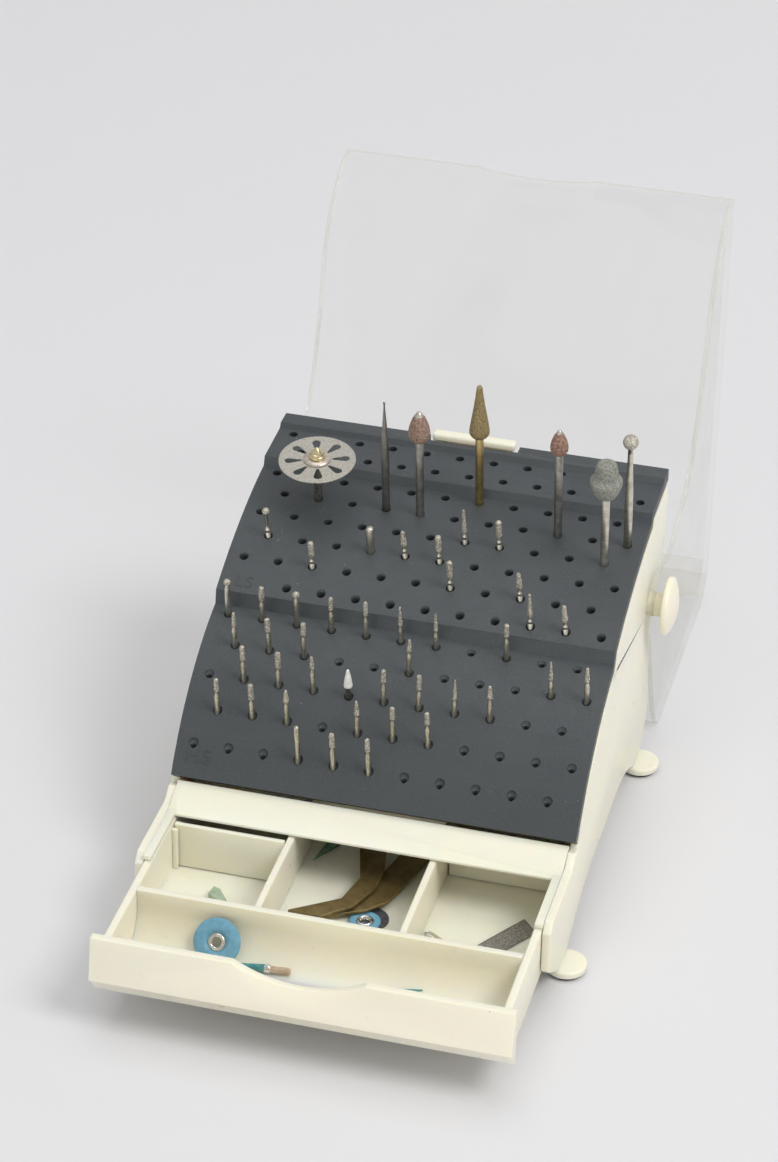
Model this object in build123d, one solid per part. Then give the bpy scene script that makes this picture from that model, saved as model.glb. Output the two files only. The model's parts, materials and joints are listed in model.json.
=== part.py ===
"""Bench stand for rotary burs: a stepped plate of sockets, a clear flip-up lid and a parts drawer.

Millimetres, +Z up, +X to the right, +Y to the back. Shapes are drawn in a bench frame whose y = 0 is the
front row of sockets and whose z = 0 is the table. The finished parts are then moved along y, so that the
origin is the centre of the footprint with the lid open and the drawer part way out, as they rest.
"""
from build123d import *
from math import cos, radians, sin, sqrt
import os

os.makedirs("parts", exist_ok=True)

# ---- driving dimensions -------------------------------------------------------------------------
WALL_X = 57.6            # outer face of each side wall
WALL_T = 2.4             # side wall thickness
WALL_IN = WALL_X - WALL_T
PLATE_X = 57.1           # half width of the bur plate
PLATE_T = 3.0
BUR_LEAN = 6.5           # the sockets lean this far towards the user, degrees
PITCH_X = 10.0           # socket pitch along a row
FIRST_X = -52.3          # first socket of a full row
STAGGER = 4.8            # shift of every other row
HIGH_ARC = (55.1, -6.8, 73.0)      # front zone of the plate: centre y, centre z, radius
LOW_ARC = (100.2, -59.3, 142.0)    # middle zone of the plate
HIGH_ROWS = [0.0, 7.12, 15.15, 23.93, 33.3]
LOW_ROWS = [40.64, 48.53, 56.6, 64.83, 73.19, 81.65]
TOP_ROWS = [89.85, 98.41]
TOP_Z, TOP_SLOPE = 84.3, 0.05      # rear shelf height at its front edge, and its rise per mm
PLATE_FRONT_Y, STEP1_Y, STEP2_Y, LIP_Y, PLATE_BACK_Y = -5.6, 36.6, 84.1, 101.0, 108.1
LIP_Z = 86.5
SOCKET_DEPTH = 6.2       # along the bur, from the plate's top face
FINE_R, FINE_BORE = 0.8, 0.85          # 1.6 mm shanks and their sockets
HAND_R, HAND_BORE = 1.175, 1.235       # 2.35 mm shanks and their sockets
PIVOT_Y, PIVOT_Z = 86.0, 54.0          # lid hinge axis
PIN_R, PIN_CLEAR = 3.5, 0.06
LID_IN, LID_T = 58.1, 1.5              # inner face of a cheek, and the sheet
LID_X = LID_IN + LID_T
LID_BACK_Y, LID_TOP_Z, LID_LOW_Z = 181.6, 137.5, 0.3
TRAY_X, TRAY_T = 55.0, 2.2             # drawer outer half width and wall
TRAY_FRONT_Y, TRAY_BACK_Y = -72.6, 14.0
TRAY_LOW_Z, TRAY_FLOOR_Z, RIM_Z = 10.4, 11.8, 26.6
CROSS_Y, DIVIDER_X, DIVIDER_T = -49.2, 19.9, 2.0
COVE_R = 9.8                           # round at the back of the front tray
DRAWER_FRONT_Y = -77.3                 # foremost edge of the drawer
JAMB_Y = -36.5                         # front edge of the side walls
SHELF_Z = (8.6, 10.1)                  # floor of the housing, under the drawer
FOOT_X, FOOT_FRONT_Y, FOOT_REAR_Y, FOOT_R = 58.6, -17.8, 80.5, 5.6
PAD_T = 1.0
SHIFT_Y = -(DRAWER_FRONT_Y + LID_BACK_Y) / 2


# ---- helpers --------------------------------------------------------------------------------------
def save(name, *solids):
    """Move finished solids into the part frame and write them as one node."""
    moved = [Pos(0, SHIFT_Y, 0) * solid for solid in solids]
    if len(moved) == 1:
        export_step(moved[0], f"parts/{name}.step")
    else:
        export_step(Compound(children=moved), f"parts/{name}.step")


def arc_z(arc, y, inset=0.0):
    """Height of a plate arc at y, taken inset mm inside its face."""
    centre_y, centre_z, radius = arc
    return centre_z + sqrt((radius - inset) ** 2 - (y - centre_y) ** 2)


def face_z(y):
    """Height of the bur plate's top face at y."""
    if y < STEP1_Y:
        return arc_z(HIGH_ARC, y)
    if y < STEP2_Y:
        return arc_z(LOW_ARC, y)
    return TOP_Z + TOP_SLOPE * (y - STEP2_Y)


def arc_run(arc, y0, y1, inset=0.0):
    """The stretch of a plate arc from y0 to y1, as an edge in the YZ plane."""
    middle = (y0 + y1) / 2
    return ThreePointArc(*[(0, y, arc_z(arc, y, inset)) for y in (y0, middle, y1)])


def slab(edges, x0, x1):
    """Extrude a closed YZ outline from x0 to x1."""
    outline = Wire(edges)
    return Pos(x0, 0, 0) * extrude(Face(outline), amount=x1 - x0, dir=(1, 0, 0))


def yz_poly(points, x0, x1, radii=None):
    """Extrude a YZ polygon from x0 to x1, with its corners rounded by radii."""
    flat = Polyline(*[(0, y, z) for y, z in points], close=True)
    solid = Pos(x0, 0, 0) * extrude(Face(Wire(flat.edges())), amount=x1 - x0, dir=(1, 0, 0))
    for (y, z), radius in zip(points, radii or []):
        if radius:
            near = [
                e for e in solid.edges()
                if e.length > abs(x1 - x0) - 0.01 and abs(e.center().Y - y) + abs(e.center().Z - z) < 0.01
            ]
            solid = fillet(near, radius)
    return solid


def block(x0, x1, y0, y1, z0, z1):
    """A box between two corners."""
    return Pos((x0 + x1) / 2, (y0 + y1) / 2, (z0 + z1) / 2) * Box(x1 - x0, y1 - y0, z1 - z0)


def turned(points):
    """Revolve a profile of (radius, height) points, closed on the axis, about Z."""
    outline = Polyline(*[(r, 0, z) for r, z in points], close=True)
    return revolve(Face(Wire(outline.edges())), Axis.Z)


def ball(radius, height):
    """A sphere on the axis of a bur."""
    return Pos(0, 0, height) * Sphere(radius)


def mirror_pair(name, solid):
    """Save a right-hand solid and its mirror image."""
    save(f"{name}_right", solid)
    save(f"{name}_left", mirror(solid, about=Plane.YZ))


# ---- the sockets ----------------------------------------------------------------------------------
def socket_x(row, number):
    """Socket centre along a row; every other row is staggered."""
    return FIRST_X + PITCH_X * number + (STAGGER if row % 2 == 1 else 0.0)


ROW_Y = HIGH_ROWS + LOW_ROWS + TOP_ROWS
MARK_SOCKET = (5, 0)     # this place carries the zone mark instead of a socket


def seat(row, number):
    """Where a bur stands: its place on the plate and the lean of its socket."""
    y = ROW_Y[row]
    return Location((socket_x(row, number), y, face_z(y)), (BUR_LEAN, 0, 0))


def all_seats():
    """Every socket as (row, number)."""
    return [(r, n) for r in range(len(ROW_Y)) for n in range(11) if (r, n) != MARK_SOCKET]


def bore_of(row):
    return FINE_BORE if row < len(HIGH_ROWS) else HAND_BORE


MOUTH_R, MOUTH_UP = 1.5, 0.72     # each mouth is a shallow round dimple


def plate_outline(inset_low, inset_high, front, back):
    """Edges along the plate's underside or the rib below it, from the front to the back."""
    riser = (STEP1_Y + 1.2, STEP1_Y + 3.6)
    end = STEP2_Y + 2.0
    shelf = [(0, y, face_z(y) - inset_low) for y in (STEP2_Y + 3.2, back)]
    return [
        arc_run(HIGH_ARC, front, riser[0], inset_high),
        Line(
            (0, riser[0], arc_z(HIGH_ARC, riser[0], inset_high)),
            (0, riser[1], arc_z(LOW_ARC, riser[1], inset_low)),
        ),
        arc_run(LOW_ARC, riser[1], end, inset_low),
        Polyline((0, end, arc_z(LOW_ARC, end, inset_low)), *shelf),
    ]


def ends(edges):
    """First and last point of a run of edges drawn front to back."""
    return edges[0] @ 0, edges[-1] @ 1


def make_plate():
    """The perforated plate: two curved zones, a rear shelf with a raised lip, and a notch for the catch."""
    riser_top = STEP1_Y + 0.8
    top = [
        arc_run(HIGH_ARC, PLATE_FRONT_Y, STEP1_Y),
        Line((0, STEP1_Y, arc_z(HIGH_ARC, STEP1_Y)), (0, riser_top, arc_z(LOW_ARC, riser_top))),
        arc_run(LOW_ARC, riser_top, STEP2_Y),
        Polyline(
            (0, STEP2_Y, arc_z(LOW_ARC, STEP2_Y)),
            (0, STEP2_Y + 1.1, face_z(STEP2_Y + 1.1)),
            (0, LIP_Y - 0.4, face_z(LIP_Y - 0.4)),
            (0, LIP_Y + 0.7, LIP_Z),
            (0, PLATE_BACK_Y - 0.8, LIP_Z),
            (0, PLATE_BACK_Y, LIP_Z - 0.8),
            (0, PLATE_BACK_Y, LIP_Z - 4.2),
        ),
    ]
    under = plate_outline(PLATE_T, PLATE_T, PLATE_FRONT_Y + 2.2, PLATE_BACK_Y - 1.5)
    first, last = ends(under)
    close = [
        Line((0, PLATE_BACK_Y, LIP_Z - 4.2), last),
        Line(first, (0, PLATE_FRONT_Y, arc_z(HIGH_ARC, PLATE_FRONT_Y))),
    ]
    edges = [e for part in top + under + close for e in part.edges()]
    plate = slab(edges, -PLATE_X, PLATE_X)
    plate -= block(-13.4, 13.4, PLATE_BACK_Y - 4.1, PLATE_BACK_Y + 1, 70, 95)
    for row in range(len(ROW_Y)):
        places = [seat(r, n) for r, n in all_seats() if r == row]
        plate -= [where * Pos(0, 0, -3) * Cylinder(bore_of(row), 12) for where in places]
        plate -= [where * ball(MOUTH_R, MOUTH_UP) for where in places]
    return plate


BLOCK_GAP, BLOCK_T = 0.1, 4.2
BLOCK_FRONT_Y, BLOCK_BACK_Y, BLOCK_LOW_Z = -1.2, 102.3, 29.2


def make_block():
    """The socket block under the plate: its blind holes hold the lower ends of the shanks."""
    top_inset = PLATE_T + BLOCK_GAP
    low_inset = top_inset + BLOCK_T
    top = plate_outline(top_inset, top_inset, BLOCK_FRONT_Y, BLOCK_BACK_Y)
    low = plate_outline(low_inset, low_inset, 1.4, BLOCK_BACK_Y)
    top_first, top_last = ends(top)
    low_first, low_last = ends(low)
    edges = [e for part in top + low for e in part.edges()]
    edges += [Line(top_first, low_first), Line(top_last, low_last)]
    body = slab(edges, -WALL_IN + 0.6, WALL_IN - 0.6)
    body &= block(-60, 60, -20, 120, BLOCK_LOW_Z, 100)
    cuts = [
        seat(row, number) * Pos(0, 0, 6 - SOCKET_DEPTH) * Cylinder(bore_of(row), 12)
        for row, number in all_seats()
    ]
    return body - cuts


# ---- the housing ----------------------------------------------------------------------------------
WALL_GAP = 0.3           # the plate lifts off, so the wall stays this far below it
PIN_TAIL = 1.2           # the hinge pin's rivet head stands this far inside the wall


def make_wall():
    """Right side wall: it follows the plate above, and stands on two feet with an arch between them."""
    top = plate_outline(PLATE_T + WALL_GAP, PLATE_T + WALL_GAP, PLATE_FRONT_Y + 1.6, 106.0)
    first, last = ends(top)
    front = Polyline(
        first, (0, -6.6, 30.9), (0, -10.4, 28.2), (0, JAMB_Y + 2.6, 28.2), (0, JAMB_Y, 25.6),
        (0, JAMB_Y, 13.4), (0, JAMB_Y + 2.0, 11.4), (0, -23.4, 3.6), (0, -21.4, 3.0), (0, -13.0, 3.0),
    )
    arch = [
        ThreePointArc((0, -13.0, 3.0), (0, 0.6, 8.3), (0, 14.6, 11.0)),
        Line((0, 14.6, 11.0), (0, 47.6, 11.6)),
        ThreePointArc((0, 47.6, 11.6), (0, 63.5, 9.4), (0, 76.0, 3.0)),
    ]
    rear = Polyline((0, 76.0, 3.0), (0, 86.0, 3.0), (0, 91.4, 9.6), (0, 93.8, 15.0), (0, 88.6, 43.4))
    notch = ThreePointArc((0, 88.6, 43.4), (0, 96.6, 53.2), (0, 106.4, 61.0))
    back = Line((0, 106.4, 61.0), last)
    runs = top + [front] + arch + [rear, notch, back]
    wall = slab([e for run in runs for e in run.edges()], WALL_IN, WALL_X)
    wall -= Pos(WALL_X, PIVOT_Y, PIVOT_Z) * Rot(0, 90, 0) * Cylinder(PIN_R, 3 * WALL_T)
    return wall


def make_fascia():
    """Sloped cream strip below the plate, with an arm along each wall over the drawer's rim."""
    section = [(-5.2, 32.0), (-14.9, 27.6), (-14.9, 26.9), (-13.6, 26.9), (-3.4, 30.4)]
    strip = yz_poly(section, -WALL_IN, WALL_IN)
    for side in (-1, 1):
        inner, outer = sorted((side * 53.0, side * WALL_IN))
        strip += block(inner, outer, JAMB_Y + 0.4, -13.8, 26.9, 28.2)
    return strip


def make_back_wall():
    """Bent rear panel between the side walls, open underneath."""
    outside = [(104.8, 81.6), (104.8, 61.6), (87.6, 45.6), (92.2, 14.0)]
    inside = [(90.2, 14.0), (85.5, 46.4), (102.8, 62.5), (102.8, 81.6)]
    return yz_poly(outside + inside, -WALL_IN, WALL_IN)


def make_catch():
    """Rounded bar on a neck, standing in the notch of the plate."""
    bar = Pos(0, 106.4, 87.0) * Box(24.6, 3.4, 2.6)
    bar = fillet(bar.edges(), 0.9)
    neck = block(-9.0, 9.0, 104.9, 106.5, 70.0, 86.4)
    return bar + neck


def make_pivot():
    """Right hinge button: a domed disc on a pin that is riveted in the wall."""
    x0 = WALL_IN - PIN_TAIL
    profile = [
        (0, 0), (4.6, 0), (4.6, PIN_TAIL - 0.1), (PIN_R, PIN_TAIL), (PIN_R, 8.2), (8.5, 8.2), (8.5, 9.8),
    ]
    dome_r = (8.5**2 + 2.2**2) / (2 * 2.2)
    dome = ThreePointArc((8.5, 0, 9.8), (4.4, 0, 12.0 - dome_r + sqrt(dome_r**2 - 4.4**2)), (0, 0, 12.0))
    outline = Polyline(*[(r, 0, z) for r, z in profile])
    axis_line = Line((0, 0, 12.0), (0, 0, 0))
    edges = outline.edges() + dome.edges() + axis_line.edges()
    button = revolve(Face(Wire(edges)), Axis.Z)
    return Pos(x0, PIVOT_Y, PIVOT_Z) * Rot(0, 90, 0) * button


def make_foot():
    """A foot: a disc under the wall, partly outside it."""
    disc = Pos(0, 0, (PAD_T + 3.0) / 2) * Cylinder(FOOT_R, 3.0 - PAD_T)
    return fillet(disc.edges().sort_by(Axis.Z)[-1:], 0.5)


# ---- the lid --------------------------------------------------------------------------------------
SCOOP_R, SCOOP_DEPTH, SCOOP_Z = 19.0, 3.5, 139.5
EAR_R = 9.0              # rounded ear of a cheek round its pivot


def cheek_outline(inset=0.0):
    """Outline of a cheek in the YZ plane, drawn from the free edge over the pivot to the table."""
    back, top, low = LID_BACK_Y - inset, LID_TOP_Z, LID_LOW_Z + inset
    ear = [
        (PIVOT_Y + EAR_R * cos(radians(turn)), PIVOT_Z + EAR_R * sin(radians(turn)))
        for turn in (75, 150, 215)
    ]
    front_edge = Spline(
        (0, 176.0, top), (0, 157.0, 121.0), (0, 150.6, 102.0), (0, 143.6, 84.0), (0, 130.5, 66.5),
        (0, 112.0, 59.5), (0, *ear[0]), tangents=[(0, -1, -0.5), (0, -1, 0.25)],
    )
    ear_edge = ThreePointArc(*[(0, *p) for p in ear])
    low_edge = Polyline(
        (0, *ear[2]), (0, 86.5, 30.0), (0, 94.0, 12.0), (0, 101.0, low + 2.0), (0, 105.0, low),
        (0, back - 12.0, low),
    )
    bend = 12.0 * (1 - cos(radians(45)))
    corner = ThreePointArc((0, back - 12.0, low), (0, back - bend, low + bend), (0, back, low + 12.0))
    rear = Polyline((0, back, low + 12.0), (0, back, top), (0, 176.0, top))
    return [e for run in (front_edge, ear_edge, low_edge, corner, rear) for e in run.edges()]


def make_lid():
    """Clear hood: two cheeks joined by one bent sheet, with a finger dish at the free edge.

    Open as it rests, its roof lies along the table and its front stands upright behind the housing.
    """
    hood = slab(cheek_outline(), -LID_X, LID_X)
    inner = slab(cheek_outline(LID_T), -LID_IN, LID_IN)
    hood -= [
        block(-LID_IN, LID_IN, 60.0, 168.0, LID_LOW_Z + LID_T, 150.0),
        inner & block(-LID_IN, LID_IN, 100.0, 190.0, 0.0, 150.0),
        block(-LID_IN, LID_IN, 60.0, 101.5, -1.0, 150.0),
    ]
    dish_r = (SCOOP_R**2 + SCOOP_DEPTH**2) / (2 * SCOOP_DEPTH)
    centre_y = LID_BACK_Y - LID_T - SCOOP_DEPTH + dish_r
    reach = block(-SCOOP_R - 2, SCOOP_R + 2, 170.0, LID_BACK_Y, 110.0, LID_TOP_Z)
    bulge = (Pos(0, centre_y, SCOOP_Z) * Sphere(dish_r)) & reach
    hood += bulge
    hood -= Pos(0, centre_y, SCOOP_Z) * Sphere(dish_r - LID_T)
    hood -= Pos(0, PIVOT_Y, PIVOT_Z) * Rot(0, 90, 0) * Cylinder(PIN_R + PIN_CLEAR, 2 * LID_X + 4)
    return hood


# ---- the drawer -----------------------------------------------------------------------------------
def make_tray():
    """Drawer box: floor, two sides and a back."""
    inner = TRAY_X - TRAY_T
    box = block(-TRAY_X, TRAY_X, TRAY_FRONT_Y, TRAY_BACK_Y, TRAY_LOW_Z, RIM_Z)
    return box - block(-inner, inner, TRAY_FRONT_Y - 1, TRAY_BACK_Y - TRAY_T, TRAY_FLOOR_Z, RIM_Z + 1)


def make_drawer_front():
    """Front panel: it leans outwards below, and a finger dish lowers its top edge in the middle."""
    low, top, back = 16.6, 28.9, TRAY_FRONT_Y - 0.05
    panel = yz_poly(
        [(-74.9, top), (DRAWER_FRONT_Y, low), (-76.4, low - 0.9), (back - 0.25, TRAY_LOW_Z + 0.4),
         (back, TRAY_LOW_Z + 0.6), (back, top)],
        -57.0, 57.0,
    )
    dip_r = (18.0**2 + 5.0**2) / (2 * 5.0)
    panel -= Pos(-0.5, -75.0, top - 5.0 + dip_r) * Rot(90, 0, 0) * Cylinder(dip_r, 20)
    dish = (Pos(-0.5, DRAWER_FRONT_Y - 55.8, 53.4) * Sphere(65.6)) & block(-22, 22, -80, -70, 17.0, 32)
    return panel - dish


def make_cross():
    """Divider between the front tray and the three bays, with a cove down to the tray's floor."""
    inner, low = TRAY_X - TRAY_T - 0.05, TRAY_FLOOR_Z + 0.02
    cove = block(-inner, inner, CROSS_Y - COVE_R + 0.4, CROSS_Y, low, low + COVE_R)
    cove -= Pos(0, CROSS_Y - COVE_R, low + COVE_R) * Rot(0, 90, 0) * Cylinder(COVE_R, 2 * TRAY_X)
    return block(-inner, inner, CROSS_Y, CROSS_Y + DIVIDER_T, low, RIM_Z) + cove


def make_divider(side):
    """Lengthwise bay divider."""
    x = side * DIVIDER_X
    y0, y1 = CROSS_Y + DIVIDER_T + 0.05, TRAY_BACK_Y - TRAY_T - 0.05
    return block(x - DIVIDER_T / 2, x + DIVIDER_T / 2, y0, y1, TRAY_FLOOR_Z + 0.02, RIM_Z - 0.2)


PANEL_T = 1.4


def make_bay_panel(side, y):
    """Loose cross panel of an outer bay; it lifts out of its guides."""
    inner, outer = sorted((side * (DIVIDER_X + DIVIDER_T / 2 + 0.3), side * (TRAY_X - TRAY_T - 0.3)))
    return block(inner, outer, y, y + PANEL_T, TRAY_FLOOR_Z + 0.3, RIM_Z - 0.5)


def make_guides(side, y):
    """Pairs of small ribs that hold a bay panel upright."""
    ribs = []
    for near in (y - 1.5, y + PANEL_T + 0.3):
        x0, x1 = sorted((side * (TRAY_X - TRAY_T - 1.6), side * (TRAY_X - TRAY_T - 0.02)))
        ribs.append(block(x0, x1, near, near + 1.2, TRAY_FLOOR_Z + 0.02, RIM_Z - 1.4))
    return ribs


LEFT_PANEL_Y, RIGHT_PANEL_Y = -17.4, -1.0


# ---- what lies in the drawer -----------------------------------------------------------------------
FLOOR = TRAY_FLOOR_Z + 0.05


def ring(outer, inner, thick):
    """A flat ring about Z, standing on its lower face."""
    return Pos(0, 0, thick / 2) * (Cylinder(outer, thick) - Cylinder(inner, thick + 1))


def flat_piece(points, z0, thick):
    """A flat piece cut to a polygon of (x, y) points."""
    outline = Wire(Polyline(*points, close=True).edges())
    return Pos(0, 0, z0) * extrude(Face(outline), amount=thick, dir=(0, 0, 1))


def make_hairpin(bend_r, wire_r, long_leg, short_leg):
    """A bent wire lying flat: a half turn about the origin and two legs along +X."""
    bend = Torus(bend_r, wire_r) & block(-bend_r - 1, 0, -bend_r - 1, bend_r + 1, -1, 1)
    legs = [
        Pos(length / 2, y, 0) * Rot(0, 90, 0) * Cylinder(wire_r, length)
        for length, y in ((long_leg, bend_r), (short_leg, -bend_r))
    ]
    return bend + legs


def save_drawer_contents():
    """Small accessories lying in the front tray and the bays."""
    lean = Location((-29.0, -53.6, 17.6), (58, 0, 14))
    save("polishing_disc_front", lean * ring(6.5, 2.45, 0.6))
    lying = Location((4.8, -28.4, FLOOR + 0.75))
    save("polishing_disc_bay", lying * ring(4.3, 2.45, 0.6))
    save("disc_eyelets", *[at * Pos(0, 0, -0.15) * ring(2.4, 1.1, 1.0) for at in (lean, lying)])
    save("dark_disc_bay", Location((5.6, -26.0, FLOOR)) * ring(5.1, 1.0, 0.5))
    brush = Pos(-13.4, -56.0, FLOOR + 1.75) * Rot(0, 0, 4) * Rot(0, 90, 0)
    save("brush_handle", brush * Pos(0, 0, -4.6) * Cone(0.5, 1.2, 9.0))
    save("brush_tuft", brush * Pos(0, 0, 2.8) * Cone(1.15, 0.95, 5.6))
    probe = Pos(22.6, -54.75, FLOOR + 1.6) * Rot(0, 0, 11) * Rot(0, 85, 0)
    save("teal_probe", probe * Cone(0.5, 0.2, 10.0))
    sliver = [(-39.2, -29.4), (-35.2, -32.4), (-33.4, -31.0), (-36.6, -26.6), (-38.6, -25.9)]
    save("pale_point", flat_piece(sliver, FLOOR, 2.2))
    green = Pos(-13.8, -1.2, FLOOR + 1.95) * Rot(0, 0, -18.9) * Rot(90, 0, 0)
    save("green_point", green * Cone(1.8, 0.15, 12.0))
    arm = [
        (-15.6, -33.0), (-3.0, -24.1), (-0.6, -13.9), (-4.2, -0.8), (-6.4, 8.0), (1.0, 8.0), (3.2, 0.0),
        (5.0, -9.5), (4.8, -17.0), (1.0, -26.6), (-6.3, -33.3),
    ]
    other = [
        (-15.0, -33.0), (-3.0, -25.4), (3.2, -14.0), (4.5, -7.6), (6.5, 0.3), (8.4, 8.0), (16.5, 8.0),
        (14.8, 1.2), (11.1, -13.9), (9.0, -20.3), (4.5, -25.5), (-3.1, -29.5), (-8.0, -33.4),
    ]
    save("tweezer_arm_upper", flat_piece(arm, FLOOR + 3.2, 1.0))
    save("tweezer_arm_lower", flat_piece(other, FLOOR + 1.7, 1.0))
    clip = Location((22.3, -27.9, FLOOR + 0.4), (0, 0, -32))
    save("wire_clip", clip * make_hairpin(0.8, 0.32, 5.0, 4.0))
    strip = Location((42.1, -26.1, FLOOR + 0.3), (0, 0, 57))
    save("abrasive_strip", strip * Box(22.0, 6.6, 0.6))


# ---- the burs ---------------------------------------------------------------------------------------
DOWN = -SOCKET_DEPTH + 0.15      # lower end of a seated shank


def fine_bur(kind, head_h=4.6):
    """A short bur of 1.6 mm shank, drawn about Z from the plate's face."""
    top = 12.2
    neck = top - head_h
    stem = [(0, DOWN), (FINE_R, DOWN), (FINE_R, neck - 2.2), (0.45, neck)]
    heads = {
        "cylinder": [(0.72, neck + 0.1), (0.72, top - 0.3), (0.45, top), (0, top)],
        "taper": [(0.8, neck + 0.2), (0.42, top - 0.4), (0, top)],
        "needle": [(0.5, neck + 0.4), (0.16, top + 0.6), (0, top + 0.8)],
    }
    if kind == "stub":
        return turned([(0, DOWN), (FINE_R, DOWN), (FINE_R, top - 0.6), (0.5, top), (0, top)])
    if kind == "flame":
        return turned([(0, DOWN), (FINE_R, DOWN), (FINE_R, 3.8), (1.1, 3.9), (1.22, 4.6), (0.45, 9.5), (0, 9.9)])
    if kind == "round":
        tip = turned([(0, DOWN), (FINE_R, DOWN), (FINE_R, top - 5.5), (0.45, top - 2.0), (0, top - 2.0)])
        return tip + ball(1.05, top - 1.1)
    return turned(stem + heads[kind])


def low_bur(kind):
    """A short bur of 1.6 mm shank standing loose in a wide socket, or a cut 2.35 mm shank."""
    stem = [(0, DOWN), (FINE_R, DOWN), (FINE_R, 2.2), (0.5, 3.6)]
    heads = {
        "cylinder": [(0.5, 4.0), (0.82, 4.3), (0.82, 8.8), (0.5, 9.2), (0, 9.2)],
        "taper": [(0.5, 4.0), (0.85, 4.4), (0.5, 9.0), (0, 9.2)],
        "needle": [(0.7, 4.2), (0.3, 11.2), (0, 11.5)],
    }
    if kind == "stub":
        return turned([(0, DOWN), (HAND_R, DOWN), (HAND_R, 7.6), (0.8, 8.2), (0, 8.2)])
    if kind == "round":
        return turned(stem + [(0.45, 7.8), (0, 7.8)]) + ball(1.1, 8.6)
    return turned(stem + heads[kind])


# Each bur stands in socket (row, number), both counted from 0 at the front left.
FINE_BURS = {
    "cylinder": [(0, 4), (0, 5), (1, 0), (1, 1), (1, 5), (1, 6), (2, 1), (2, 2), (2, 5), (2, 6),
                 (3, 1), (3, 2), (4, 1), (4, 3), (4, 4), (4, 8)],
    "taper": [(1, 2), (2, 3), (3, 0), (3, 5), (3, 10), (2, 8), (1, 4)],
    "needle": [(2, 7), (4, 5), (3, 9), (4, 6)],
    "round": [(4, 0), (4, 2)],
    "flame": [(2, 4)],
    "stub": [(0, 3)],
}
LOW_BURS = {
    "cylinder": [(6, 2), (6, 6), (7, 5), (8, 7)],
    "taper": [(6, 8), (7, 4), (5, 9)],
    "needle": [(5, 8), (8, 6)],
    "round": [(7, 0)],
    "stub": [(7, 3)],
}


def save_short_burs():
    """One node for each kind of short bur, a separate solid for each bur."""
    for kind, seats in FINE_BURS.items():
        made = fine_bur(kind)
        save(f"fine_{kind}_burs", *[seat(*s) * made for s in seats])
    for kind, seats in LOW_BURS.items():
        made = low_bur(kind)
        save(f"low_{kind}_burs", *[seat(*s) * made for s in seats])


def shank(top):
    """A plain 2.35 mm hand-piece shank reaching top mm above the plate."""
    return turned([(0, DOWN), (HAND_R - 0.3, DOWN), (HAND_R, DOWN + 0.3), (HAND_R, top), (0, top)])


def save_long_burs():
    """The long-shank tools, each with its working head as a piece of its own."""
    place = seat(9, 1)
    stem = [(0, DOWN), (HAND_R, DOWN), (HAND_R, 12.0), (2.0, 12.4), (2.0, 13.6), (0, 13.6)]
    save("disc_mandrel", place * turned(stem))
    disc = Cylinder(11.0, 0.35) - Cylinder(0.9, 1)
    slots = [Rot(0, 0, 45 * k + 22) * Pos(6.6, 0, 0) * Box(4.2, 1.7, 1) for k in range(8)]
    save("diamond_disc", place * Pos(0, 0, 13.9) * (disc - slots))
    save("disc_washer", place * Pos(0, 0, 14.5) * (Cylinder(3.9, 0.8) - Cylinder(0.9, 2)))
    screw = [(0, 13.7), (0.85, 13.7), (0.85, 14.95), (2.3, 14.95), (2.3, 15.9), (1.5, 16.7), (0, 17.0)]
    save("disc_screw", place * turned(screw))

    place = seat(9, 3)
    spear = [(0, DOWN), (HAND_R, DOWN), (HAND_R, 20.0), (0.95, 24.0), (0.3, 37.0), (0, 37.4)]
    save("long_needle", place * turned(spear))

    place = seat(9, 4)
    save("brown_stone_shank", place * shank(25.9))
    acorn = [(0, 26), (1.6, 26), (3.0, 28.2), (3.1, 29.8), (1.4, 34.6), (0, 35.7)]
    save("brown_stone", place * turned(acorn))

    place = seat(10, 6)
    save("cone_stone_shank", place * shank(23.4))
    cone = [(0, 23.5), (1.6, 23.5), (2.9, 25.0), (2.7, 27.0), (0.9, 39.6), (0, 41.0)]
    save("cone_stone", place * turned(cone))

    place = seat(9, 8)
    save("flame_stone_shank", place * shank(28.4))
    flame = [(0, 28.5), (1.3, 28.5), (2.4, 30.4), (2.4, 31.6), (1.0, 35.2), (0, 36.4)]
    save("flame_stone", place * turned(flame))

    place = seat(8, 10)
    save("barrel_stone_shank", place * shank(23.4))
    barrel = [
        (0, 23.5), (2.0, 23.5), (3.7, 26.2), (4.5, 28.6), (4.5, 30.0), (3.2, 31.4), (3.0, 33.4),
        (1.8, 35.2), (0, 35.6),
    ]
    save("barrel_stone", place * turned(barrel))

    place = seat(9, 10)
    stem = turned([(0, DOWN), (HAND_R, DOWN), (HAND_R, 21.0), (0.75, 33.0), (0.75, 34.6), (0, 34.6)])
    save("ball_bur", place * (stem + ball(2.2, 36.0)))


# ---- build ------------------------------------------------------------------------------------------
save("bur_plate", make_plate())
save("socket_block", make_block())
mirror_pair("side_wall", make_wall())
save("front_fascia", make_fascia())
save("back_wall", make_back_wall())
save("rear_catch", make_catch())
save("housing_floor", block(-WALL_IN, WALL_IN, -30.0, 84.0, *SHELF_Z))
mirror_pair("pivot_button", make_pivot())
corners = [(side * FOOT_X, y) for side in (-1, 1) for y in (FOOT_FRONT_Y, FOOT_REAR_Y)]
save("feet", *[Pos(x, y, 0) * make_foot() for x, y in corners])
save("foot_pads", *[Pos(x, y, PAD_T / 2) * Cylinder(FOOT_R - 0.9, PAD_T) for x, y in corners])
save("lid", make_lid())
save("drawer_tray", make_tray())
save("drawer_front", make_drawer_front())
save("cross_divider", make_cross())
save("bay_divider_left", make_divider(-1))
save("bay_divider_right", make_divider(1))
save("bay_panel_left", make_bay_panel(-1, LEFT_PANEL_Y))
save("bay_panel_right", make_bay_panel(1, RIGHT_PANEL_Y))
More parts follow.
